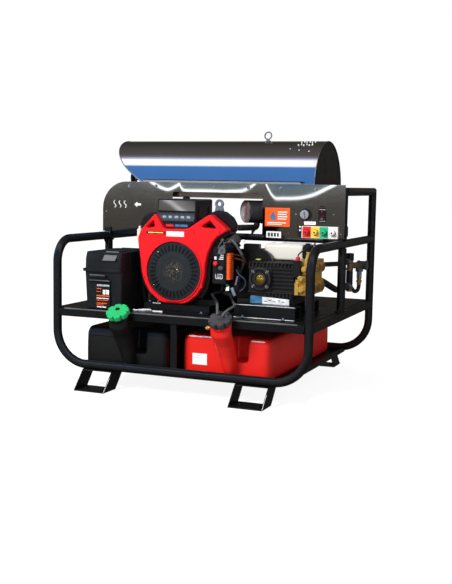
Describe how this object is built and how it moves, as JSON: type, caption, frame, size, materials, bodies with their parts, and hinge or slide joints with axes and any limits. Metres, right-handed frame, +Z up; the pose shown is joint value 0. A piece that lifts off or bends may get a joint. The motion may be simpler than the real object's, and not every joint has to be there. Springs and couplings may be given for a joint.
{
  "type": "hot water pressure washer",
  "caption": "Skid-mounted hot-water pressure washer: tube frame, V-twin petrol engine, belt-driven pump, half-round coil hood, control panel, fuel tanks and battery.",
  "frame": {"origin": "centre of the overall box on the floor plane under the feet", "axes": "+X right along the skid seen from the front, -Y the front with the engine fan and the control panel, +Z up"},
  "size_m": [1.221, 1.1822, 1.1681],
  "materials": {
    "black_paint": "satin black powder coat",
    "panel_steel": "polished stainless sheet",
    "mirror_steel": "mirror-polished stainless",
    "dark_steel": "dull dark steel",
    "cast_grey": "dark cast alloy",
    "bright_steel": "bright turned steel",
    "pump_black": "black painted casting",
    "brass": "bright brass",
    "red_cover": "gloss red",
    "red_tank": "moulded red",
    "black_tank": "moulded black",
    "black_plastic": "grained black plastic",
    "green_plastic": "moulded green",
    "red_plastic": "moulded red",
    "yellow_plastic": "moulded yellow",
    "white_plastic": "moulded white",
    "black_rubber": "black rubber",
    "grey_rubber": "grey rubber"
  },
  "bodies": {
    "skid": {"air_cleaner": "black_plastic", "battery": "black_plastic", "battery_box": "black_plastic", "belt_guard": "black_paint", "bottom_tray": "black_paint", "burner": "black_paint", "control_box": "black_plastic", "control_panel": "panel_steel", "cylinder_left": "cast_grey", "cylinder_right": "cast_grey", "diesel_tank": "black_tank", "discharge_hose": "black_rubber", "drive_belt": "black_rubber", "engine_base": "black_paint", "engine_block": "cast_grey", "eye_bolt": "mirror_steel", "fan_cover": "red_cover", "fan_guard": "black_plastic", "float_tank": "white_plastic", "foot_front_left": "black_paint", "foot_front_right": "black_paint", "foot_rear_left": "black_paint", "foot_rear_right": "black_paint", "front_hoop": "black_paint", "fuel_hose": "grey_rubber", "heating_coil": "dark_steel", "hood": "mirror_steel", "hood_pan": "mirror_steel", "inlet_hose": "black_rubber", "mid_post_left": "black_paint", "mid_post_right": "black_paint", "muffler": "dark_steel", "nozzle_holder": "black_plastic", "outlet_valve": "brass", "panel_crossbar": "black_paint", "panel_post_left": "black_paint", "panel_post_right": "black_paint", "petrol_cap": "black_plastic", "petrol_tank": "red_tank", "pressure_switch": "black_plastic", "pump_base": "black_paint", "pump_crankcase": "pump_black", "pump_manifold": "brass", "rear_hoop": "black_paint", "shelf": "black_paint", "tank_strut": "black_paint"},
    "engine_rotor": {"flywheel_fan": "cast_grey", "crankshaft": "bright_steel"},
    "pump_rotor": {"pump_pulley": "pump_black"},
    "thermostat_dial": {"thermostat_knob": "bright_steel"},
    "burner_rocker": {"burner_switch": "red_plastic"},
    "ignition": {"ignition_key": "bright_steel"},
    "choke": {"choke_knob": "red_plastic"},
    "unloader_dial": {"unloader_knob": "black_plastic"},
    "diesel_filler_cap": {"diesel_cap": "green_plastic"},
    "battery_cover": {"battery_lid": "black_plastic"},
    "spray_nozzle_red": {"nozzle_red": "red_plastic"},
    "spray_nozzle_yellow": {"nozzle_yellow": "yellow_plastic"},
    "spray_nozzle_green": {"nozzle_green": "green_plastic"},
    "spray_nozzle_white": {"nozzle_white": "white_plastic"}
  },
  "joints": [
    {"name": "engine_spin", "type": "hinge", "parent": "skid", "child": "engine_rotor", "pos_m": [-0.06052, -0.19395, 0.532], "axis": [0, 1, 0], "continuous": true},
    {"name": "pump_spin", "type": "hinge", "parent": "skid", "child": "pump_rotor", "pos_m": [0.32948, -0.04395, 0.516], "axis": [0, 1, 0], "continuous": true},
    {"name": "thermostat_turn", "type": "hinge", "parent": "skid", "child": "thermostat_dial", "pos_m": [0.42048, -0.05395, 0.784], "axis": [0, -1, 0], "range_deg": [-270, 0]},
    {"name": "burner_switch_tilt", "type": "hinge", "parent": "skid", "child": "burner_rocker", "pos_m": [0.50048, -0.04595, 0.782], "axis": [1, 0, 0], "range_deg": [-10, 10]},
    {"name": "ignition_turn", "type": "hinge", "parent": "skid", "child": "ignition", "pos_m": [0.15648, -0.38395, 0.556], "axis": [0, -1, 0], "range_deg": [-90, 0]},
    {"name": "choke_pull", "type": "slide", "parent": "skid", "child": "choke", "axis": [0, -1, 0], "range_m": [0, 0.015]},
    {"name": "unloader_turn", "type": "hinge", "parent": "skid", "child": "unloader_dial", "pos_m": [0.52448, -0.29895, 0.64], "axis": [0, 0, 1], "range_deg": [0, 340]},
    {"name": "diesel_cap_turn", "type": "hinge", "parent": "skid", "child": "diesel_filler_cap", "pos_m": [-0.25402, -0.53625, 0.3393], "axis": [0, -0.5, 0.866], "range_deg": [0, 270]},
    {"name": "battery_lid_lift", "type": "slide", "parent": "skid", "child": "battery_cover", "axis": [0, 0, 1], "range_m": [0, 0.12]},
    {"name": "nozzle_red_pull", "type": "slide", "parent": "skid", "child": "spray_nozzle_red", "axis": [0, -1, 0], "range_m": [0, 0.03]},
    {"name": "nozzle_yellow_pull", "type": "slide", "parent": "skid", "child": "spray_nozzle_yellow", "axis": [0, -1, 0], "range_m": [0, 0.03]},
    {"name": "nozzle_green_pull", "type": "slide", "parent": "skid", "child": "spray_nozzle_green", "axis": [0, -1, 0], "range_m": [0, 0.03]},
    {"name": "nozzle_white_pull", "type": "slide", "parent": "skid", "child": "spray_nozzle_white", "axis": [0, -1, 0], "range_m": [0, 0.03]}
  ],
  "couplings": [
    {"joint": "pump_spin", "follows": "engine_spin", "ratio": 0.52941}
  ]
}
